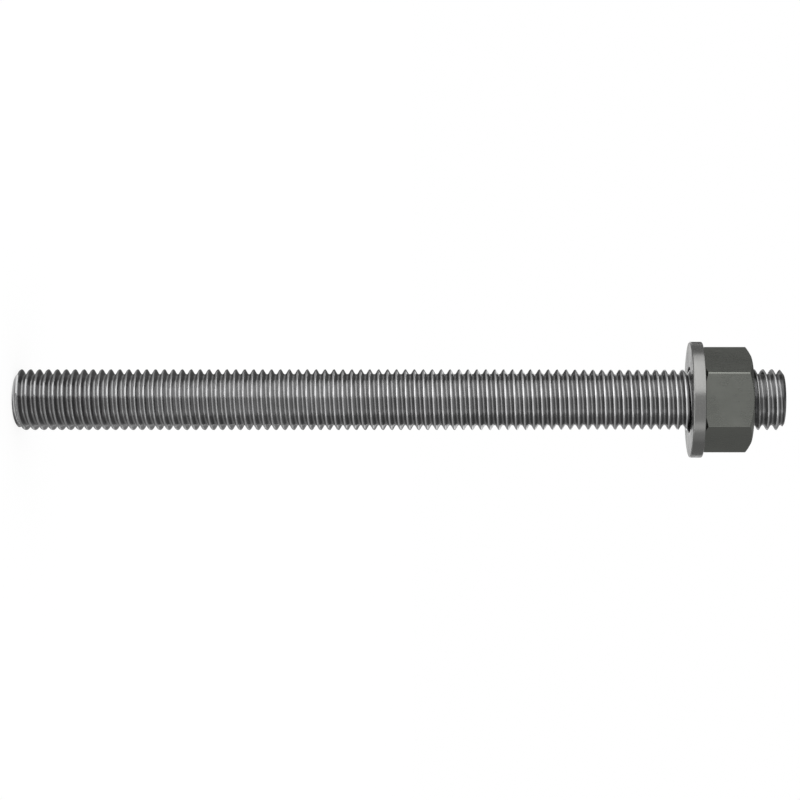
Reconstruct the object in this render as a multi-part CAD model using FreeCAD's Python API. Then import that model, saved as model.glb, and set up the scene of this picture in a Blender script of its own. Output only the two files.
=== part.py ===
"""A threaded anchor rod with its flat washer and hexagon nut.

The rod stands on its plain end, which is the end that goes into the wall or floor.
The rod's axis is +Z, and the origin is the centre of that end. All sizes are in millimetres.
"""

import FreeCAD
import Part
import math
import os

# Rod, drawn at the diameter over its thread
thread_diameter = 12.0
thread_pitch = 1.75
rod_length = 150.0
rod_chamfer_depth_share = 0.93
rod_chamfer_angle = 37.0

# Washer
washer_diameter = 22.7
washer_bore_clearance = 0.5
washer_thickness = 2.45
washer_edge_break = 0.25

# Nut
nut_across_flats = 18.0
nut_height = 9.5
nut_face_diameter = 17.5
nut_seat_diameter = 18.8
nut_chamfer_angle = 30.0
nut_thread_clearance = 0.1
nut_mouth_chamfer = 0.5
free_thread_above_nut = 6.5

# Both ends of the rod are chamfered for most of the thread's depth
thread_depth = thread_pitch * math.sqrt(3.0) / 2.0 * 17.0 / 24.0
rod_chamfer_depth = rod_chamfer_depth_share * thread_depth
rod_chamfer_height = rod_chamfer_depth * math.tan(math.radians(rod_chamfer_angle))

# Places along the rod, measured from the plain end
nut_top = rod_length - free_thread_above_nut
nut_bottom = nut_top - nut_height
washer_bottom = nut_bottom - washer_thickness

UP = FreeCAD.Vector(0, 0, 1)
ORIGIN = FreeCAD.Vector(0, 0, 0)


def revolve(outline):
    """Return the solid that an outline of (radius, height) points sweeps about the Z axis."""
    points = [FreeCAD.Vector(radius, 0, height) for radius, height in outline]
    return Part.Face(Part.makePolygon(points + points[:1])).revolve(ORIGIN, UP, 360)


def make_threaded_rod():
    """Return the rod: a bar as thick as its thread, chamfered at both ends."""
    radius = thread_diameter / 2.0
    return revolve([
        (0.0, 0.0),
        (radius - rod_chamfer_depth, 0.0),
        (radius, rod_chamfer_height),
        (radius, rod_length - rod_chamfer_height),
        (radius - rod_chamfer_depth, rod_length),
        (0.0, rod_length),
    ])


def make_flat_washer():
    """Return the washer: a flat ring with lightly broken outer edges."""
    bore = thread_diameter / 2.0 + washer_bore_clearance
    rim = washer_diameter / 2.0
    ring = revolve([
        (bore, 0.0),
        (rim - washer_edge_break, 0.0),
        (rim, washer_edge_break),
        (rim, washer_thickness - washer_edge_break),
        (rim - washer_edge_break, washer_thickness),
        (bore, washer_thickness),
    ])
    ring.translate(UP * washer_bottom)
    return ring


def make_hex_blank():
    """Return the nut's hexagon bar, with one flat square to -Y."""
    corner = nut_across_flats / math.sqrt(3.0)
    corners = []
    for side in range(6):
        angle = math.radians(60.0 * side)
        corners.append(FreeCAD.Vector(corner * math.cos(angle), corner * math.sin(angle), 0))
    hexagon = Part.Face(Part.makePolygon(corners + corners[:1]))
    return hexagon.extrude(UP * nut_height)


def make_hex_nut():
    """Return the nut: a hexagon bar, turned to a cone at both faces and bored."""
    face_radius = nut_face_diameter / 2.0
    seat_radius = nut_seat_diameter / 2.0
    outside = nut_across_flats * 0.65
    slope = math.tan(math.radians(nut_chamfer_angle))
    cones = revolve([
        (0.0, 0.0),
        (seat_radius, 0.0),
        (outside, (outside - seat_radius) * slope),
        (outside, nut_height - (outside - face_radius) * slope),
        (face_radius, nut_height),
        (0.0, nut_height),
    ])
    bore = thread_diameter / 2.0 + nut_thread_clearance
    mouth = bore + nut_mouth_chamfer
    hole = revolve([
        (0.0, 0.0),
        (mouth, 0.0),
        (bore, nut_mouth_chamfer),
        (bore, nut_height - nut_mouth_chamfer),
        (mouth, nut_height),
        (0.0, nut_height),
    ])
    nut = make_hex_blank().common(cones).cut(hole)
    nut.translate(UP * nut_bottom)
    return nut


def main():
    os.makedirs("parts", exist_ok=True)
    pieces = {
        "threaded_rod": make_threaded_rod(),
        "flat_washer": make_flat_washer(),
        "hex_nut": make_hex_nut(),
    }
    for name, piece in pieces.items():
        piece.Solids[0].exportStep(f"parts/{name}.step")


main()
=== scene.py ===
"""A threaded anchor rod with its flat washer and hexagon nut, dressed as plain bright steel.

The rod stands on its plain end and its axis is +Z. The studio is a pale floor with one large softbox,
one narrow strip light, a small low light, and grey cards and mats that only the steel sees.
Lengths are in metres. The studio's angles are measured about the axis, from the camera's side
towards -X, which is up in the picture.
"""
import math

import bmesh
import bpy
from bpy.props import FloatProperty, FloatVectorProperty, IntProperty, PointerProperty
from mathutils import Matrix, Vector


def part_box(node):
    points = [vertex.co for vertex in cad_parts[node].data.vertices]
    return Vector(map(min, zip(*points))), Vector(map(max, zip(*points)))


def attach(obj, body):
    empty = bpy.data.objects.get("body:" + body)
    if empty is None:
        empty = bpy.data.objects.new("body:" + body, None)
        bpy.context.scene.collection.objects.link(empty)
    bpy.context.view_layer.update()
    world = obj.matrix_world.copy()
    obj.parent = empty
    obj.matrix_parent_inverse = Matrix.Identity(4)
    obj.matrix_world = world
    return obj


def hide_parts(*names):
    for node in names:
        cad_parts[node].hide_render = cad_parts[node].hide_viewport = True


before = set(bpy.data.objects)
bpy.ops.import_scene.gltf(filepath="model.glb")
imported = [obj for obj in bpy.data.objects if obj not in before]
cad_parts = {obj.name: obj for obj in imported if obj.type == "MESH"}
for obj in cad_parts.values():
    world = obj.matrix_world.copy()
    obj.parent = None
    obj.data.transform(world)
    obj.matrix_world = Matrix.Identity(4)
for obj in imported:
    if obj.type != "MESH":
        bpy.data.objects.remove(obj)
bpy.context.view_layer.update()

bl_info = {
    "name": "Threaded Anchor Rod",
    "version": (1, 0, 0),
    "blender": (4, 5, 0),
    "location": "View3D > Sidebar > Anchor Rod",
    "description": "Builds a threaded rod with its washer and nut, and a studio to show them in",
    "category": "Object",
}

MM = 0.001

# Places and sizes that the solids already fix
ROD_LOW, ROD_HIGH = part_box("threaded_rod")
WASHER_LOW, WASHER_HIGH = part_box("flat_washer")
NUT_LOW, NUT_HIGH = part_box("hex_nut")
CREST_RADIUS = (ROD_HIGH.x - ROD_LOW.x) / 2.0
WASHER_RADIUS = (WASHER_HIGH.x - WASHER_LOW.x) / 2.0
NUT_FLAT = (NUT_HIGH.y - NUT_LOW.y) / 2.0

# A metric thread has 60 degree grooves and crests an eighth of the pitch wide
FLANK_LEAN = math.radians(30.0)
FLANK_SLOPE = math.sqrt(3.0)
HALF_CREST_SHARE = 1.0 / 16.0
GROOVE_DEPTH_SHARE = 7.0 / 16.0 * FLANK_SLOPE

# The angle that one side of the nut takes up about the axis
SIDE_TURN = math.radians(60.0)

# Edges that turn by more than this stay sharp, and points closer than this are one point
SHARP_ANGLE = math.radians(38.0)
MERGE_DISTANCE = 1e-7


class RodSizes(bpy.types.PropertyGroup):
    """Sizes of the rod and of the thread that the nut shares with it."""

    pitch: FloatProperty(
        name="Pitch", description="Distance from one crest to the next",
        default=1.75 * MM, min=0.2 * MM, unit="LENGTH", precision=5)
    root_round: FloatProperty(
        name="Root round", description="Radius of the groove's bottom",
        default=0.33 * MM, min=0.01 * MM, unit="LENGTH", precision=5)
    crest_softness: FloatProperty(
        name="Crest softness", description="How far the edge of a crest is rounded",
        default=0.2 * MM, min=0.0, unit="LENGTH", precision=5)
    crest_lean: FloatProperty(
        name="Crest lean", description="How far the top of a crest slopes down towards -Z",
        default=math.radians(20.0), subtype="ANGLE")
    first_crest: FloatProperty(
        name="First crest", description="Height of a crest on the +X side, which sets the thread's start",
        default=-0.15 * MM, unit="LENGTH", precision=5)
    chamfer_depth: FloatProperty(
        name="Chamfer depth", description="How far the chamfer at both ends reaches in",
        default=1.0 * MM, min=0.0, unit="LENGTH", precision=5)
    chamfer_height: FloatProperty(
        name="Chamfer height", description="Height of the chamfer at both ends",
        default=0.75 * MM, min=0.01 * MM, unit="LENGTH", precision=5)
    round_steps: IntProperty(
        name="Steps round", description="Faces in one turn of the thread", default=72, min=12)


class WasherSizes(bpy.types.PropertyGroup):
    """Sizes of the flat washer that its solid's box doesn't give."""

    bore: FloatProperty(
        name="Bore", description="Diameter of the hole",
        default=13.0 * MM, min=1.0 * MM, unit="LENGTH", precision=5)
    edge_round: FloatProperty(
        name="Edge round", description="Radius of the rounded edges",
        default=0.25 * MM, min=0.0, unit="LENGTH", precision=5)
    steps: IntProperty(name="Steps round", description="Faces in one turn of the rim", default=160, min=24)


class NutSizes(bpy.types.PropertyGroup):
    """Sizes of the hexagon nut that its solid's box doesn't give."""

    face_diameter: FloatProperty(
        name="Face diameter", description="Diameter of the flat face inside the upper chamfer",
        default=17.5 * MM, min=1.0 * MM, unit="LENGTH", precision=5)
    seat_diameter: FloatProperty(
        name="Seat diameter", description="Diameter of the flat face that rests on the washer",
        default=18.8 * MM, min=1.0 * MM, unit="LENGTH", precision=5)
    chamfer_angle: FloatProperty(
        name="Chamfer angle", description="Slope of the chamfer from the face",
        default=math.radians(30.0), subtype="ANGLE")
    corner_round: FloatProperty(
        name="Corner round", description="Radius of the six long edges",
        default=0.38 * MM, min=0.01 * MM, unit="LENGTH", precision=5)
    edge_round: FloatProperty(
        name="Edge round", description="Radius of the edges round the chamfers",
        default=0.12 * MM, min=0.01 * MM, unit="LENGTH", precision=5)
    thread_clearance: FloatProperty(
        name="Thread clearance", description="Radial gap between the rod's thread and the nut's",
        default=0.15 * MM, min=0.0, unit="LENGTH", precision=5)
    mouth_diameter: FloatProperty(
        name="Mouth diameter", description="Diameter of the countersink at each face",
        default=13.2 * MM, min=1.0 * MM, unit="LENGTH", precision=5)
    mouth_angle: FloatProperty(
        name="Mouth angle", description="Slope of the countersink from the face",
        default=math.radians(30.0), subtype="ANGLE")
    thread_bore: FloatProperty(
        name="Bore", description="Diameter over the crests of the nut's own thread",
        default=10.3 * MM, min=1.0 * MM, unit="LENGTH", precision=5)
    flat_steps: IntProperty(name="Steps a side", description="Faces along one side", default=22, min=4)


class SteelColours(bpy.types.PropertyGroup):
    """The three steels."""

    rod: FloatVectorProperty(
        name="Rod", description="Colour of the rod's crests", subtype="COLOR", default=(0.72, 0.72, 0.725))
    washer: FloatVectorProperty(
        name="Washer", description="Colour of the washer", subtype="COLOR", default=(0.395, 0.395, 0.385))
    nut: FloatVectorProperty(
        name="Nut", description="Colour of the nut", subtype="COLOR", default=(0.32, 0.33, 0.303))


class StudioSizes(bpy.types.PropertyGroup):
    """The camera, and how bright the steel sees each part of the studio. A brightness of 1 is white."""

    camera_distance: FloatProperty(
        name="Camera distance", description="From the rod's axis", default=0.390, unit="LENGTH")
    camera_height: FloatProperty(
        name="Camera height", description="Above the floor", default=0.0975, unit="LENGTH", precision=4)
    camera_aside: FloatProperty(
        name="Camera aside", description="How far the camera stands towards +X",
        default=0.06 * MM, unit="LENGTH", precision=5)
    camera_lens: FloatProperty(
        name="Lens", description="Focal length in millimetres", default=89.5, unit="CAMERA")
    camera_shift: FloatProperty(
        name="Lens shift", description="Share of the picture's width", default=-0.1440)
    softbox_brightness: FloatProperty(
        name="Softbox", description="Brightness of the large light over the white behind it", default=0.45)
    strip_brightness: FloatProperty(
        name="Strip", description="Brightness of the narrow light over the card behind it", default=0.45)
    front_brightness: FloatProperty(
        name="Front card", description="Grey of the card round the camera", default=0.42)
    near_brightness: FloatProperty(
        name="Near card", description="Grey of the card next to the strip", default=0.33)
    side_brightness: FloatProperty(
        name="Side cards", description="Grey of the cards at the sides and overhead", default=0.22)
    back_brightness: FloatProperty(
        name="Back cards", description="Grey of the cards behind the rod, low in the picture", default=0.3)
    low_light_brightness: FloatProperty(
        name="Low light", description="Brightness of the small light on the floor over the white behind it",
        default=0.8)
    dark_back_brightness: FloatProperty(
        name="Dark back cards", description="Grey of the cards behind the rod, high in the picture",
        default=0.12)
    mat_brightness: FloatProperty(
        name="Foot mat", description="Grey of the mat round the rod's foot", default=0.24)
    side_mat_brightness: FloatProperty(
        name="Side mats", description="Grey of the mats on the floor at the sides", default=0.38)
    far_mat_brightness: FloatProperty(
        name="Far mat", description="Grey of the mat on the floor below the lights", default=0.12)
    shade_brightness: FloatProperty(
        name="Shade", description="Grey of the card that shades the rod's free end from the softbox",
        default=0.6)
    ambient: FloatProperty(name="Ambient", description="Light from all round", default=0.9)


class AnchorRodSettings(bpy.types.PropertyGroup):
    """Everything that a user may change."""

    rod: PointerProperty(type=RodSizes)
    washer: PointerProperty(type=WasherSizes)
    nut: PointerProperty(type=NutSizes)
    steel: PointerProperty(type=SteelColours)
    studio: PointerProperty(type=StudioSizes)


# Helpers for node trees


def fill(tree, socket, value):
    """Gives a socket a value, which is a constant or another node's output."""
    if isinstance(value, bpy.types.NodeSocket):
        tree.links.new(value, socket)
    else:
        socket.default_value = value


def math_of(tree, operation, *values):
    """The result of one Math node."""
    node = tree.nodes.new("ShaderNodeMath")
    node.operation = operation
    for socket, value in zip(node.inputs, values):
        fill(tree, socket, value)
    return node.outputs[0]


def node_with(tree, kind, **inputs):
    """A node whose inputs are given by name, with spaces written as underscores."""
    node = tree.nodes.new(kind)
    for name, value in inputs.items():
        fill(tree, node.inputs[name.replace("_", " ")], value)
    return node


def mixed_shader(tree, share, first, second):
    """A shader that runs from the first to the second as the share grows."""
    mix = tree.nodes.new("ShaderNodeMixShader")
    tree.links.new(share, mix.inputs[0])
    tree.links.new(first, mix.inputs[1])
    tree.links.new(second, mix.inputs[2])
    return mix.outputs[0]


def empty_tree(owner):
    """The node tree of a world or a material, with nothing in it."""
    owner.use_nodes = True
    owner.node_tree.nodes.clear()
    return owner.node_tree


# Helpers for meshes


def add_object(name, mesh):
    """A new object at the origin, linked to the scene."""
    piece = bpy.data.objects.new(name, mesh)
    bpy.context.scene.collection.objects.link(piece)
    return piece


def finished_mesh(bm, name):
    """The mesh that a bmesh has built."""
    mesh = bpy.data.meshes.new(name)
    bm.to_mesh(mesh)
    bm.free()
    return mesh


def turned_piece(name, outline_at, turns, closed):
    """A new object whose outline, a list of (radius, height) for each angle, is carried round the axis.
    A closed outline is a ring's section. An open one starts and ends on the axis."""
    bm = bmesh.new()
    columns = []
    poles = {}
    for turn in turns:
        column = []
        for row, (radius, height) in enumerate(outline_at(turn)):
            if radius > MERGE_DISTANCE:
                column.append(bm.verts.new((radius * math.cos(turn), radius * math.sin(turn), height)))
            else:
                if row not in poles:
                    poles[row] = bm.verts.new((0.0, 0.0, height))
                column.append(poles[row])
        columns.append(column)
    rows = len(columns[0])
    for left, right in zip(columns, columns[1:] + columns[:1]):
        for row in range(rows if closed else rows - 1):
            above = (row + 1) % rows
            corners = list(dict.fromkeys((left[row], right[row], right[above], left[above])))
            bm.faces.new(corners)
    bmesh.ops.recalc_face_normals(bm, faces=bm.faces)
    return add_object(name, finished_mesh(bm, name))


def even_turns(steps):
    """Angles for a full circle."""
    return [2.0 * math.pi * step / steps for step in range(steps)]


def plain_mesh(piece):
    """Turns what the modifiers make into the object's own mesh and takes the modifiers off."""
    evaluated = piece.evaluated_get(bpy.context.evaluated_depsgraph_get())
    mesh = bpy.data.meshes.new_from_object(evaluated)
    if not mesh.polygons:
        raise RuntimeError(f"{piece.name} came out empty")
    piece.modifiers.clear()
    piece.data = mesh
    mesh.name = piece.name


def combine(piece, other, operation):
    """Keeps what both share, or cuts the other away."""
    cut = piece.modifiers.new("Cut", "BOOLEAN")
    cut.object = other
    cut.operation = operation
    cut.solver = "MANIFOLD"
    plain_mesh(piece)
    bpy.data.objects.remove(other)


def shade_edges(piece):
    """Smooth faces with sharp edges, where flat faces keep their own direction."""
    bm = bmesh.new()
    bm.from_mesh(piece.data)
    bmesh.ops.remove_doubles(bm, verts=bm.verts, dist=MERGE_DISTANCE)
    bmesh.ops.dissolve_degenerate(bm, edges=bm.edges, dist=MERGE_DISTANCE)
    for face in bm.faces:
        face.smooth = True
    for edge in bm.edges:
        edge.smooth = edge.calc_face_angle(0.0) < SHARP_ANGLE
    bm.to_mesh(piece.data)
    bm.free()
    evening = piece.modifiers.new("Even shading", "WEIGHTED_NORMAL")
    evening.keep_sharp = True
    plain_mesh(piece)


def place_piece(piece, material, body, node):
    """Gives a finished mesh its steel and ties it to the solid that it stands for."""
    piece.data.materials.clear()
    piece.data.materials.append(material)
    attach(piece, body)
    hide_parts(node)


# The thread


def profile_rows(tree, row):
    """Spreads the rows over one pitch, from one crest to the next, closest on the crest and in the root.
    A row's place is a share of the pitch."""
    crest_top = (0.0, 0.03, 0.0625, 0.095, 0.13)
    root = (0.337, 0.41, 0.5, 0.59, 0.663)
    crest_below = (0.805, 0.845, 0.885, 0.925, 1.0)
    places = crest_top + root + crest_below
    curve = tree.nodes.new("ShaderNodeFloatCurve")
    points = curve.mapping.curves[0].points
    for number, place in enumerate(places):
        share = number / (len(places) - 1)
        if 0 < number < len(places) - 1:
            points.new(share, place)
    for point in points:
        point.handle_type = "VECTOR"
    curve.mapping.update()
    tree.links.new(row, curve.inputs["Value"])
    return curve.outputs["Value"], len(places)


def thread_tree():
    """One turn of a screw surface, repeated a pitch apart."""
    tree = bpy.data.node_groups.new("Screw thread", "GeometryNodeTree")
    tree.is_modifier = True
    for name, kind in (
            ("Pitch", "NodeSocketFloat"), ("Crest Radius", "NodeSocketFloat"),
            ("Root Round", "NodeSocketFloat"), ("Crest Softness", "NodeSocketFloat"),
            ("Crest Slope", "NodeSocketFloat"), ("First Crest", "NodeSocketFloat"),
            ("Turns", "NodeSocketInt"), ("Round Steps", "NodeSocketInt"),
            ("Material", "NodeSocketMaterial")):
        tree.interface.new_socket(name=name, in_out="INPUT", socket_type=kind)
    tree.interface.new_socket(name="Geometry", in_out="OUTPUT", socket_type="NodeSocketGeometry")
    given = tree.nodes.new("NodeGroupInput").outputs
    pitch = given["Pitch"]
    crest = given["Crest Radius"]
    arc = given["Root Round"]

    # The flat sheet is 1 by 1 about its middle, and its X becomes the turn and its Y the row
    on_sheet = tree.nodes.new("GeometryNodeInputPosition").outputs["Position"]
    place = node_with(tree, "ShaderNodeSeparateXYZ", Vector=on_sheet)
    turn = math_of(tree, "ADD", place.outputs["X"], 0.5)
    row = math_of(tree, "ADD", place.outputs["Y"], 0.5)
    share, row_count = profile_rows(tree, row)

    # The root is an arc that touches both flanks, and the crest cuts the flanks off
    share_from_root = math_of(tree, "ABSOLUTE", math_of(tree, "SUBTRACT", share, 0.5))
    from_root = math_of(tree, "MULTIPLY", share_from_root, pitch)
    reach = math_of(tree, "MULTIPLY", arc, math.cos(FLANK_LEAN))
    in_arc = math_of(tree, "MINIMUM", from_root, reach)
    arc_squared = math_of(tree, "MULTIPLY", arc, arc)
    in_arc_squared = math_of(tree, "MULTIPLY", in_arc, in_arc)
    fall = math_of(tree, "SQRT", math_of(tree, "SUBTRACT", arc_squared, in_arc_squared))
    apex = math_of(tree, "SUBTRACT", crest, math_of(tree, "MULTIPLY", pitch, GROOVE_DEPTH_SHARE))
    centre = math_of(tree, "ADD", apex, math_of(tree, "MULTIPLY", arc, 2.0))
    valley = math_of(tree, "SUBTRACT", centre, fall)
    climb = math_of(tree, "MULTIPLY", math_of(tree, "SUBTRACT", from_root, in_arc), FLANK_SLOPE)
    flank = math_of(tree, "ADD", valley, climb)

    # Rolling leaves the top of the crest sloping down towards -Z, and its edges soft
    from_crest = math_of(tree, "SUBTRACT", share, math_of(tree, "ROUND", share))
    below_shoulder = math_of(tree, "SUBTRACT", HALF_CREST_SHARE, from_crest)
    past_shoulder = math_of(tree, "MAXIMUM", below_shoulder, 0.0)
    along_crest = math_of(tree, "MULTIPLY", past_shoulder, pitch)
    lowered = math_of(tree, "MULTIPLY", along_crest, given["Crest Slope"])
    top = math_of(tree, "SUBTRACT", crest, lowered)
    radius = math_of(tree, "SMOOTH_MIN", flank, top, given["Crest Softness"])

    angle = math_of(tree, "MULTIPLY", turn, 2.0 * math.pi)
    climbed = math_of(tree, "MULTIPLY", math_of(tree, "ADD", turn, share), pitch)
    height = math_of(tree, "ADD", given["First Crest"], climbed)
    point = node_with(
        tree, "ShaderNodeCombineXYZ",
        X=math_of(tree, "MULTIPLY", radius, math_of(tree, "COSINE", angle)),
        Y=math_of(tree, "MULTIPLY", radius, math_of(tree, "SINE", angle)),
        Z=height)

    sheet = node_with(
        tree, "GeometryNodeMeshGrid", Size_X=1.0, Size_Y=1.0,
        Vertices_X=math_of(tree, "ADD", given["Round Steps"], 1.0), Vertices_Y=row_count)
    one_turn = node_with(
        tree, "GeometryNodeSetPosition", Geometry=sheet.outputs["Mesh"], Position=point.outputs["Vector"])
    up_one_pitch = node_with(tree, "ShaderNodeCombineXYZ", Z=pitch)
    starts = node_with(
        tree, "GeometryNodeMeshLine", Count=given["Turns"], Offset=up_one_pitch.outputs["Vector"])
    copies = node_with(
        tree, "GeometryNodeInstanceOnPoints",
        Points=starts.outputs["Mesh"], Instance=one_turn.outputs["Geometry"])
    real = node_with(tree, "GeometryNodeRealizeInstances", Geometry=copies.outputs["Instances"])
    joined = node_with(
        tree, "GeometryNodeMergeByDistance", Geometry=real.outputs["Geometry"], Distance=MERGE_DISTANCE)
    finished = node_with(
        tree, "GeometryNodeSetMaterial", Geometry=joined.outputs["Geometry"], Material=given["Material"])
    result = tree.nodes.new("NodeGroupOutput")
    tree.links.new(finished.outputs["Geometry"], result.inputs["Geometry"])
    return tree


def set_inputs(modifier, **values):
    """Sets a Geometry Nodes modifier's inputs by their sockets' identifiers."""
    sockets = {
        item.name: item.identifier
        for item in modifier.node_group.interface.items_tree
        if item.item_type == "SOCKET" and item.in_out == "INPUT"
    }
    for name, value in values.items():
        modifier[sockets[name.replace("_", " ")]] = value


def screw(name, settings, low, high, clearance, material):
    """A closed screw that reaches a little past both heights, a clearance larger than the rod's thread."""
    sizes = settings.rod
    spare_turns = 2
    first_turn = math.floor((low - sizes.first_crest) / sizes.pitch) - spare_turns
    turns = math.ceil((high - low) / sizes.pitch) + 2 * spare_turns
    piece = add_object(name, bpy.data.meshes.new(name))
    thread = piece.modifiers.new("Thread", "NODES")
    thread.node_group = thread_tree()
    set_inputs(
        thread,
        Pitch=sizes.pitch,
        Crest_Radius=CREST_RADIUS + clearance,
        Root_Round=sizes.root_round,
        Crest_Softness=sizes.crest_softness,
        Crest_Slope=math.tan(sizes.crest_lean),
        First_Crest=sizes.first_crest + first_turn * sizes.pitch,
        Turns=turns,
        Round_Steps=sizes.round_steps,
        Material=material,
    )
    plain_mesh(piece)
    close_ends(piece.data, sizes.pitch)
    return piece


def close_ends(mesh, beyond):
    """Closes both open ends of a screw surface with a cone to a point on the axis."""
    bm = bmesh.new()
    bm.from_mesh(mesh)
    edges = [edge for edge in bm.edges if edge.is_boundary]
    heights = [vert.co.z for vert in bm.verts]
    low, high = min(heights), max(heights)
    middle = (low + high) / 2.0
    tips = {
        False: bm.verts.new((0.0, 0.0, low - beyond)),
        True: bm.verts.new((0.0, 0.0, high + beyond)),
    }
    for edge in edges:
        tip = tips[edge.verts[0].co.z > middle]
        bm.faces.new((edge.verts[0], edge.verts[1], tip))
    bmesh.ops.recalc_face_normals(bm, faces=bm.faces)
    bm.to_mesh(mesh)
    bm.free()


# The steels


def object_place(tree, scale):
    """The point's place on the piece, stretched for a grain that runs one way."""
    coordinates = tree.nodes.new("ShaderNodeTexCoord").outputs["Object"]
    return node_with(tree, "ShaderNodeMapping", Vector=coordinates, Scale=scale).outputs["Vector"]


def noise(tree, scale, detail, roughness):
    """Noise from 0 to 1, with one scale for each axis in turns a metre."""
    texture = node_with(
        tree, "ShaderNodeTexNoise",
        Vector=object_place(tree, scale), Scale=1.0, Detail=detail, Roughness=roughness)
    return texture.outputs[0]


def ranged(tree, value, low, high, to_low, to_high):
    """Carries a value from one range to another and stops at its ends."""
    return node_with(
        tree, "ShaderNodeMapRange", Value=value, From_Min=low, From_Max=high, To_Min=to_low, To_Max=to_high,
    ).outputs["Result"]


def tinted(tree, share, low_colour, high_colour):
    """A colour between two."""
    mix = tree.nodes.new("ShaderNodeMix")
    mix.data_type = "RGBA"
    tree.links.new(share, mix.inputs["Factor"])
    colours = [socket for socket in mix.inputs if socket.type == "RGBA"]
    for socket, colour in zip(colours, (low_colour, high_colour)):
        socket.default_value = (*colour, 1.0)
    return next(socket for socket in mix.outputs if socket.type == "RGBA")


def steel(name, colour, wear_and_painted_light, dark_share, roughness, grain_scale, patch_scale, bump_height):
    """A steel whose colour runs from dark to bright as a share, made by a given function of the node tree,
    runs from 0 to 1.
    On the rod's thread the dark end is painted shade and the bright end painted highlight; on the nut the
    bright end is wear."""
    material = bpy.data.materials.new(name)
    material.use_nodes = True
    tree = material.node_tree
    shader = tree.nodes["Principled BSDF"]
    shader.inputs["Metallic"].default_value = 1.0
    grain = noise(tree, grain_scale, detail=3.0, roughness=0.6)
    patches = noise(tree, patch_scale, detail=4.0, roughness=0.55)

    # Grain and patches make the share uneven by up to this much either way
    unevenness = 0.8
    off_middle = math_of(tree, "SUBTRACT", math_of(tree, "ADD", grain, patches), 1.0)
    # On the rod this share is painted highlight and painted shade; on the nut it is wear
    share = math_of(tree, "ADD", wear_and_painted_light(tree), math_of(tree, "MULTIPLY", off_middle, unevenness))
    bright = tuple(colour)
    dark = tuple(channel * dark_share for channel in bright)
    share_limited = ranged(tree, share, 0.0, 1.0, 0.0, 1.0)
    tree.links.new(tinted(tree, share_limited, dark, bright), shader.inputs["Base Color"])

    # Noise rarely leaves the range from 0.3 to 0.7, which is stretched to the whole range of roughness
    grain_part = math_of(tree, "MULTIPLY", grain, 0.4)
    patch_part = math_of(tree, "MULTIPLY", patches, 0.6)
    rough_share = math_of(tree, "ADD", grain_part, patch_part)
    tree.links.new(ranged(tree, rough_share, 0.3, 0.7, *roughness), shader.inputs["Roughness"])
    bump = node_with(tree, "ShaderNodeBump", Strength=1.0, Distance=bump_height, Height=grain)
    tree.links.new(bump.outputs["Normal"], shader.inputs["Normal"])
    return material


def reach_from_axis(tree):
    """The point's distance from the axis."""
    coordinates = tree.nodes.new("ShaderNodeTexCoord").outputs["Object"]
    place = node_with(tree, "ShaderNodeSeparateXYZ", Vector=coordinates).outputs
    x_squared = math_of(tree, "MULTIPLY", place["X"], place["X"])
    y_squared = math_of(tree, "MULTIPLY", place["Y"], place["Y"])
    return math_of(tree, "SQRT", math_of(tree, "ADD", x_squared, y_squared))


def by_reach(low, high, from_share, to_share):
    """A share that grows with the distance from the axis."""
    return lambda tree: ranged(tree, reach_from_axis(tree), low, high, from_share, to_share)


def painted_crest_and_root_sheen(tree):
    """A share of painted highlight that is 1 on the thread's crests, a quarter in its roots and 0 between
    them, where the grooves' sides keep a painted shade.
    """
    reach = reach_from_axis(tree)
    # Painted highlight: brightest on the crests, a quarter as bright in the roots; the grooves' sides keep
    # the dark colour as painted shade
    crest_sheen_from, crest_sheen_to = CREST_RADIUS - 0.32 * MM, CREST_RADIUS - 0.12 * MM
    root_sheen_from, root_sheen_to = CREST_RADIUS - 0.97 * MM, CREST_RADIUS - 0.8 * MM
    crest_sheen = ranged(tree, reach, crest_sheen_from, crest_sheen_to, 0.0, 1.0)
    root_sheen = ranged(tree, reach, root_sheen_from, root_sheen_to, 0.25, 0.0)
    return math_of(tree, "MAXIMUM", crest_sheen, root_sheen)


def rod_steel(colours):
    """Rolled thread: marks run round the rod, and painted highlight makes crests and roots brighter than
    the grooves' sides, which keep a painted shade.
    """
    return steel(
        "Rolled rod steel", colours.rod, wear_and_painted_light=painted_crest_and_root_sheen, dark_share=0.43, roughness=(0.14, 0.26),
        grain_scale=(220.0, 220.0, 14000.0), patch_scale=(160.0, 160.0, 110.0), bump_height=0.0015 * MM)


def washer_steel(colours):
    """Punched plate: a faint grain from rolling along X, soft patches, and a colour a little brighter
    towards the rim.
    """
    return steel(
        "Plate washer steel", colours.washer,
        wear_and_painted_light=by_reach(WASHER_RADIUS * 0.6, WASHER_RADIUS, 0.55, 0.7), dark_share=0.85,
        roughness=(0.20, 0.30), grain_scale=(300.0, 5000.0, 5000.0), patch_scale=(220.0, 220.0, 220.0),
        bump_height=0.0015 * MM)


def nut_steel(colours):
    """Cold formed nut: drawn marks run along the axis, and the corners are bright from wear."""
    corner = NUT_FLAT / math.cos(SIDE_TURN / 2.0)
    return steel(
        "Formed nut steel", colours.nut,
        wear_and_painted_light=by_reach(NUT_FLAT, corner, 0.45, 0.8), dark_share=0.78, roughness=(0.22, 0.34),
        grain_scale=(5000.0, 5000.0, 260.0), patch_scale=(260.0, 260.0, 260.0), bump_height=0.002 * MM)


# The pieces


def chamfered_bar(sizes):
    """Outline of the bar that the thread is kept within: flat ends, and chamfers that run on past the
    crests, so that only the ends are cut."""
    end_radius = CREST_RADIUS - sizes.chamfer_depth
    outside = CREST_RADIUS + sizes.chamfer_depth
    rise = 2.0 * sizes.chamfer_height
    low, high = ROD_LOW.z, ROD_HIGH.z
    return [
        (0.0, low), (end_radius, low), (outside, low + rise),
        (outside, high - rise), (end_radius, high), (0.0, high),
    ]


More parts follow.
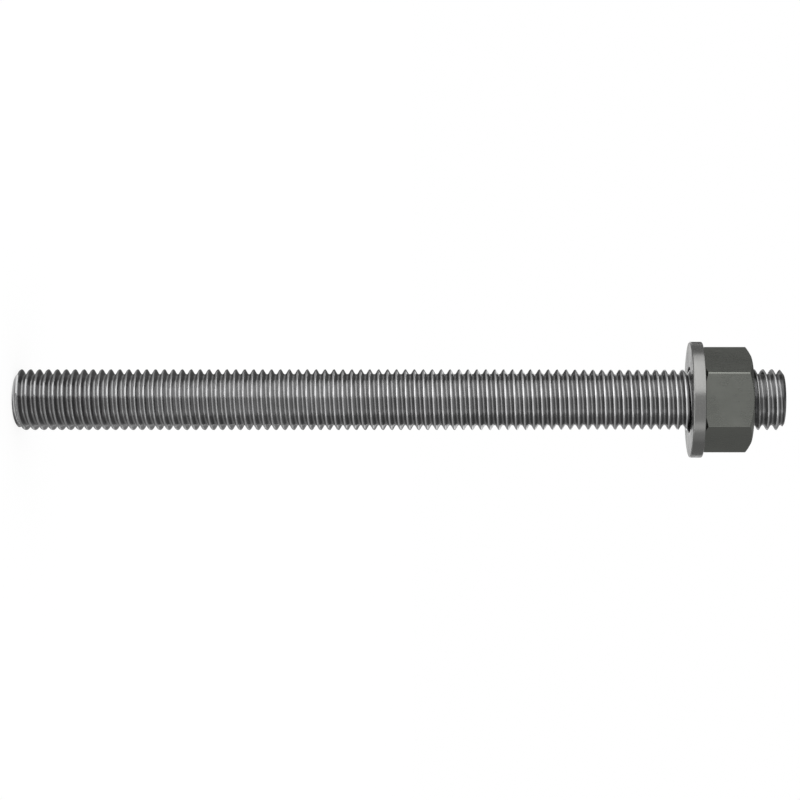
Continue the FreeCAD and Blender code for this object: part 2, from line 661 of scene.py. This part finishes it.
def rounded_corner(before, corner, after, radius, steps=4):
    """Points of an arc that replaces a corner of an outline."""
    corner, before, after = Vector(corner), Vector(before), Vector(after)
    back = (before - corner).normalized()
    ahead = (after - corner).normalized()
    half = back.angle(ahead) / 2.0
    centre = corner + (back + ahead).normalized() * (radius / math.sin(half))
    start = corner + back * (radius / math.tan(half)) - centre
    end = corner + ahead * (radius / math.tan(half)) - centre
    sweep = math.atan2(start.x * end.y - start.y * end.x, start.dot(end))
    points = []
    for step in range(steps + 1):
        angle = sweep * step / steps
        points.append((
            centre.x + start.x * math.cos(angle) - start.y * math.sin(angle),
            centre.y + start.x * math.sin(angle) + start.y * math.cos(angle)))
    return points


def rounded_outline(corners, rounds):
    """A closed outline whose corners are rounded, each by its own radius."""
    points = []
    for number, corner in enumerate(corners):
        if rounds[number] > 0.0:
            points += rounded_corner(
                corners[number - 1], corner, corners[(number + 1) % len(corners)], rounds[number])
        else:
            points.append(corner)
    return points


def hexagon_reach(turn, flat, corner_round):
    """Distance from the axis to the side of a hexagon with rounded corners, one of them on +X."""
    half_side = SIDE_TURN / 2.0
    aside = abs((turn + half_side) % SIDE_TURN - half_side)
    centre = (flat - corner_round) / math.cos(half_side)
    if aside < corner_turn(flat, corner_round):
        return centre * math.cos(aside) + math.sqrt(corner_round ** 2 - (centre * math.sin(aside)) ** 2)
    return flat / math.cos(half_side - aside)


def corner_turn(flat, corner_round):
    """Half the angle that a rounded corner takes up, seen from the axis."""
    half_side = SIDE_TURN / 2.0
    centre = (flat - corner_round) / math.cos(half_side)
    return math.atan2(corner_round * math.sin(half_side), centre + corner_round * math.cos(half_side))


def hexagon_turns(flat, corner_round, flat_steps):
    """Angles that meet every corner and every rounded stretch of a hexagon."""
    turns = []
    reach = corner_turn(flat, corner_round)
    straight = SIDE_TURN - 2.0 * reach
    for side in range(6):
        corner = SIDE_TURN * side
        turns += [corner + reach * share for share in (-1.0, -0.6, -0.2, 0.2, 0.6, 1.0)]
        turns += [corner + reach + straight * step / flat_steps for step in range(1, flat_steps)]
    return turns


class ANCHORROD_OT_make_rod(bpy.types.Operator):
    """Make the rod with its thread and its two chamfered ends"""

    bl_idname = "anchor_rod.make_rod"
    bl_label = "Make the Threaded Rod"

    def execute(self, context):
        settings = context.scene.anchor_rod
        sizes = settings.rod
        material = rod_steel(settings.steel)
        rod = screw("rod_with_thread", settings, ROD_LOW.z, ROD_HIGH.z, 0.0, material)
        outline = chamfered_bar(sizes)
        bar = turned_piece("bar", lambda turn: outline, even_turns(2 * sizes.round_steps), closed=False)
        combine(rod, bar, "INTERSECT")
        shade_edges(rod)
        place_piece(rod, material, "rod", "threaded_rod")
        return {"FINISHED"}


class ANCHORROD_OT_make_washer(bpy.types.Operator):
    """Make the flat washer with its rounded edges"""

    bl_idname = "anchor_rod.make_washer"
    bl_label = "Make the Flat Washer"

    def execute(self, context):
        settings = context.scene.anchor_rod
        sizes = settings.washer
        inside = sizes.bore / 2.0
        low, high = WASHER_LOW.z, WASHER_HIGH.z
        corners = [(inside, low), (WASHER_RADIUS, low), (WASHER_RADIUS, high), (inside, high)]
        edge_shares = (0.6, 1.0, 0.8, 0.6)
        outline = rounded_outline(corners, [sizes.edge_round * share for share in edge_shares])
        washer = turned_piece(
            "washer_with_rounded_edges", lambda turn: outline, even_turns(sizes.steps), closed=True)
        shade_edges(washer)
        place_piece(washer, washer_steel(settings.steel), "washer", "flat_washer")
        return {"FINISHED"}


class ANCHORROD_OT_make_nut(bpy.types.Operator):
    """Make the hexagon nut with its chamfers, rounded edges and own thread"""

    bl_idname = "anchor_rod.make_nut"
    bl_label = "Make the Hexagon Nut"

    def execute(self, context):
        settings = context.scene.anchor_rod
        sizes = settings.nut
        face, seat = sizes.face_diameter / 2.0, sizes.seat_diameter / 2.0
        bore, mouth = sizes.thread_bore / 2.0, sizes.mouth_diameter / 2.0
        mouth_depth = (mouth - bore) * math.tan(sizes.mouth_angle)
        low, high = NUT_LOW.z, NUT_HIGH.z
        slope = math.tan(sizes.chamfer_angle)
        edge = sizes.edge_round
        edge_shares = (0.0, 0.5, 0.3, 0.3, 1.0, 2.0, 0.5, 0.0)

        def section(turn):
            reach = hexagon_reach(turn, NUT_FLAT, sizes.corner_round)
            seat_here = min(seat, reach - edge)
            rise, drop = (reach - seat_here) * slope, (reach - face) * slope
            corners = [
                (bore, low + mouth_depth), (mouth, low), (seat_here, low), (reach, low + rise),
                (reach, high - drop), (face, high), (mouth, high), (bore, high - mouth_depth),
            ]
            return rounded_outline(corners, [edge * share for share in edge_shares])

        turns = hexagon_turns(NUT_FLAT, sizes.corner_round, sizes.flat_steps)
        nut = turned_piece("nut_with_thread", section, turns, closed=True)
        material = nut_steel(settings.steel)
        cutter = screw("cutter", settings, low, high, sizes.thread_clearance, material)
        combine(nut, cutter, "DIFFERENCE")
        shade_edges(nut)
        place_piece(nut, material, "nut", "hex_nut")
        return {"FINISHED"}


# The studio

WHITE = (1.0, 1.0, 1.0, 1.0)
STUDIO_RADIUS = 0.75
STUDIO_TOP = 0.60
OVER_FLOOR = 0.3 * MM


def seen_directly(tree):
    """1 for the camera and for what shines or lets light through, and 0 for other light."""
    path = tree.nodes.new("ShaderNodeLightPath").outputs
    seen = math_of(tree, "MAXIMUM", path["Is Camera Ray"], path["Is Glossy Ray"])
    return math_of(tree, "MAXIMUM", seen, path["Is Transmission Ray"])


def white_world(ambient):
    """White behind everything, and a plain ambient light."""
    world = bpy.data.worlds.new("Studio")
    bpy.context.scene.world = world
    tree = empty_tree(world)
    light = node_with(tree, "ShaderNodeBackground", Color=WHITE, Strength=ambient)
    white = node_with(tree, "ShaderNodeBackground", Color=WHITE, Strength=1.0)
    surface = mixed_shader(tree, seen_directly(tree), light.outputs[0], white.outputs[0])
    node_with(tree, "ShaderNodeOutputWorld", Surface=surface)


def pale_floor():
    """A white floor. Most of what the camera and the steel see of it is its own white, and the rest is
    paper that takes a faint shadow."""
    half_width = 1.5
    paper_grey = (0.86, 0.86, 0.86, 1.0)
    own_white = 1.06
    own_white_share = 0.8
    bm = bmesh.new()
    corners = ((-1, -1), (1, -1), (1, 1), (-1, 1))
    bm.faces.new([bm.verts.new((x * half_width, y * half_width, 0.0)) for x, y in corners])
    floor = add_object("floor", finished_mesh(bm, "floor"))
    material = bpy.data.materials.new("Pale floor")
    tree = empty_tree(material)
    paper = node_with(tree, "ShaderNodeBsdfDiffuse", Color=paper_grey)
    white = node_with(tree, "ShaderNodeEmission", Color=WHITE, Strength=own_white)
    share = math_of(tree, "MULTIPLY", seen_directly(tree), own_white_share)
    surface = mixed_shader(tree, share, paper.outputs[0], white.outputs[0])
    node_with(tree, "ShaderNodeOutputMaterial", Surface=surface)
    floor.data.materials.append(material)


def around(angle, distance, height):
    """A point at an angle about the axis, from the camera's side towards -X."""
    turn = math.radians(angle)
    return Vector((-math.sin(turn) * distance, -math.cos(turn) * distance, height))


def grey_card(name, from_angle, to_angle, profile, brightness):
    """A card bent round the axis that only the steel sees. It glows with its own grey light, a painted
    reflection of a lit grey card. Its profile is a list of (distance, height).
    """
    degrees_a_step = 4
    fewest_steps = 4
    steps = max(fewest_steps, int(abs(to_angle - from_angle) / degrees_a_step))
    bm = bmesh.new()
    columns = []
    for step in range(steps + 1):
        angle = from_angle + (to_angle - from_angle) * step / steps
        columns.append([bm.verts.new(around(angle, *place)) for place in profile])
    for left, right in zip(columns, columns[1:]):
        for low in range(len(profile) - 1):
            bm.faces.new((left[low], right[low], right[low + 1], left[low + 1]))
    card = add_object(name, finished_mesh(bm, name))
    material = bpy.data.materials.new(name)
    tree = empty_tree(material)
    # The card's grey is its own glow, not lamp light that it reflects: what the steel shows of it is a
    # painted reflection
    grey = node_with(tree, "ShaderNodeEmission", Color=WHITE, Strength=brightness)
    node_with(tree, "ShaderNodeOutputMaterial", Surface=grey.outputs[0])
    card.data.materials.append(material)
    card.visible_camera = card.visible_diffuse = card.visible_shadow = card.visible_transmission = False


def area_light(name, place, toward, width, height, brightness):
    """A flat light that faces a direction. Its brightness is what steel sees of it."""
    lamp = bpy.data.lights.new(name, "AREA")
    lamp.shape = "RECTANGLE"
    lamp.size, lamp.size_y = width, height
    lamp.energy = brightness * math.pi * width * height
    light = bpy.data.objects.new(name, lamp)
    bpy.context.scene.collection.objects.link(light)
    light.location = place
    light.rotation_euler = (-toward).to_track_quat("Z", "Y").to_euler()


def standing_light(name, from_angle, to_angle, distance, low, high, brightness):
    """A light that stands round the axis, faces it, and spans two angles and two heights."""
    width = 2.0 * distance * math.tan(math.radians(to_angle - from_angle) / 2.0)
    place = around((from_angle + to_angle) / 2.0, distance, (low + high) / 2.0)
    area_light(name, place, Vector((-place.x, -place.y, 0.0)), width, high - low, brightness)


def lying_light(name, angle, near, far, height, brightness):
    """A square light just above the floor that faces up."""
    side = far - near
    place = around(angle, (near + far) / 2.0, height)
    area_light(name, place, Vector((0.0, 0.0, 1.0)), side, side, brightness)


def add_camera(studio):
    """A level camera on the -Y side, turned so that the rod lies across the picture."""
    data = bpy.data.cameras.new("Camera")
    data.sensor_width = 36.0
    data.lens = studio.camera_lens
    data.shift_x = studio.camera_shift
    camera = bpy.data.objects.new("Camera", data)
    bpy.context.scene.collection.objects.link(camera)
    right, up, back = Vector((0.0, 0.0, 1.0)), Vector((-1.0, 0.0, 0.0)), Vector((0.0, -1.0, 0.0))
    camera.matrix_world = Matrix.Translation(
        (studio.camera_aside, -studio.camera_distance, studio.camera_height)
    ) @ Matrix((right, up, back)).transposed().to_4x4()
    bpy.context.scene.camera = camera


def make_lights(studio):
    """A large light from high in the picture, a narrow one from low in it, and a small one by the foot."""
    standing_light(
        "Softbox", from_angle=14.0, to_angle=82.0, distance=0.60, low=0.035, high=0.60,
        brightness=studio.softbox_brightness)
    standing_light(
        "Strip", from_angle=-62.0, to_angle=-46.0, distance=0.55, low=0.02, high=0.40,
        brightness=studio.strip_brightness)
    lying_light(
        "Low_light", angle=36.0, near=0.05, far=0.14, height=1.0 * MM,
        brightness=studio.low_light_brightness)


def make_cards(studio):
    """Grey cards round the rod and close behind it, mats on the floor, and a shade and a ceiling above.
    The two numbers in each call are the angles that the card spans."""
    wall = [(STUDIO_RADIUS, 0.0), (STUDIO_RADIUS, STUDIO_TOP)]
    grey_card("front_card", -46.0, 13.0, wall, studio.front_brightness)
    grey_card("near_card", -88.0, -46.0, wall, studio.near_brightness)
    grey_card("low_card", -150.0, -88.0, wall, studio.side_brightness)
    grey_card("high_card", 100.0, 145.0, wall, studio.side_brightness)

    # A slot in the cards behind the rod lets the washer's face see the white beyond
    behind = 0.08
    slot_low, slot_high = WASHER_LOW.z - 0.030, WASHER_LOW.z + 0.004
    under_slot = [(behind, OVER_FLOOR), (behind, slot_low)]
    over_slot = [(behind, slot_high), (behind, STUDIO_TOP)]
    for name, profile in (("under", under_slot), ("over", over_slot)):
        grey_card(f"back_low_card_{name}", -180.0, -150.0, profile, studio.back_brightness)
        grey_card(f"back_high_card_{name}", 140.0, 180.0, profile, studio.dark_back_brightness)

    # The mats lie in rings round the foot, and the side mats leave the camera's side white
    foot_edge, foot_mat_edge, side_mat_edge = 0.0056, 0.06, 0.50
    foot_mat = [(foot_edge, OVER_FLOOR), (foot_mat_edge, OVER_FLOOR)]
    foot_mat_band = [(0.028, OVER_FLOOR), (0.045, OVER_FLOOR)]
    side_mat = [(foot_mat_edge, OVER_FLOOR), (side_mat_edge, OVER_FLOOR)]
    far_mat = [(side_mat_edge, OVER_FLOOR), (STUDIO_RADIUS, OVER_FLOOR)]
    grey_card("foot_mat", 60.0, 374.0, foot_mat, studio.mat_brightness)
    grey_card("foot_mat_band", 14.0, 60.0, foot_mat_band, studio.mat_brightness)
    grey_card("low_side_mat", -180.0, -75.0, side_mat, studio.side_mat_brightness)
    grey_card("high_side_mat", 85.0, 180.0, side_mat, studio.side_mat_brightness)
    grey_card("far_mat", -180.0, 180.0, far_mat, studio.far_mat_brightness)

    # The shade casts no shadow: its glow only dims the softbox's reflection on the free end, a painted
    # shade in that reflection
    shade_distance, shade_low, shade_high = 0.58, 0.214, 0.310
    shade = [(shade_distance, shade_low), (shade_distance, shade_high)]
    ceiling = [(0.01, STUDIO_TOP), (STUDIO_RADIUS, STUDIO_TOP)]
    grey_card("shade", 13.0, 84.0, shade, studio.shade_brightness)
    grey_card("ceiling", -180.0, 180.0, ceiling, studio.side_brightness)


class ANCHORROD_OT_make_studio(bpy.types.Operator):
    """Make the floor, the lights, the cards and the camera"""

    bl_idname = "anchor_rod.make_studio"
    bl_label = "Make the Studio"

    def execute(self, context):
        studio = context.scene.anchor_rod.studio
        context.scene.view_settings.view_transform = "Standard"
        white_world(studio.ambient)
        pale_floor()
        make_lights(studio)
        make_cards(studio)
        add_camera(studio)
        return {"FINISHED"}


class ANCHORROD_PT_panel(bpy.types.Panel):
    """Lists the pieces in the order they are made"""

    bl_idname = "ANCHORROD_PT_panel"
    bl_label = "Threaded Anchor Rod"
    bl_space_type = "VIEW_3D"
    bl_region_type = "UI"
    bl_category = "Anchor Rod"

    def draw(self, context):
        settings = context.scene.anchor_rod
        for group, operator in (
                (settings.rod, ANCHORROD_OT_make_rod), (settings.washer, ANCHORROD_OT_make_washer),
                (settings.nut, ANCHORROD_OT_make_nut), (settings.studio, ANCHORROD_OT_make_studio)):
            box = self.layout.box()
            for name in group.__annotations__:
                box.prop(group, name)
            box.operator(operator.bl_idname)
        colours = self.layout.box()
        for name in SteelColours.__annotations__:
            colours.prop(settings.steel, name)


CLASSES = (
    RodSizes, WasherSizes, NutSizes, SteelColours, StudioSizes, AnchorRodSettings,
    ANCHORROD_OT_make_rod, ANCHORROD_OT_make_washer, ANCHORROD_OT_make_nut, ANCHORROD_OT_make_studio,
    ANCHORROD_PT_panel,
)


def register():
    for cls in CLASSES:
        bpy.utils.register_class(cls)
    bpy.types.Scene.anchor_rod = PointerProperty(type=AnchorRodSettings)


def unregister():
    del bpy.types.Scene.anchor_rod
    for cls in reversed(CLASSES):
        bpy.utils.unregister_class(cls)


def main():
    """Builds everything in order."""
    register()
    bpy.ops.anchor_rod.make_rod()
    bpy.ops.anchor_rod.make_washer()
    bpy.ops.anchor_rod.make_nut()
    bpy.ops.anchor_rod.make_studio()


if __name__ == "__main__":
    main()
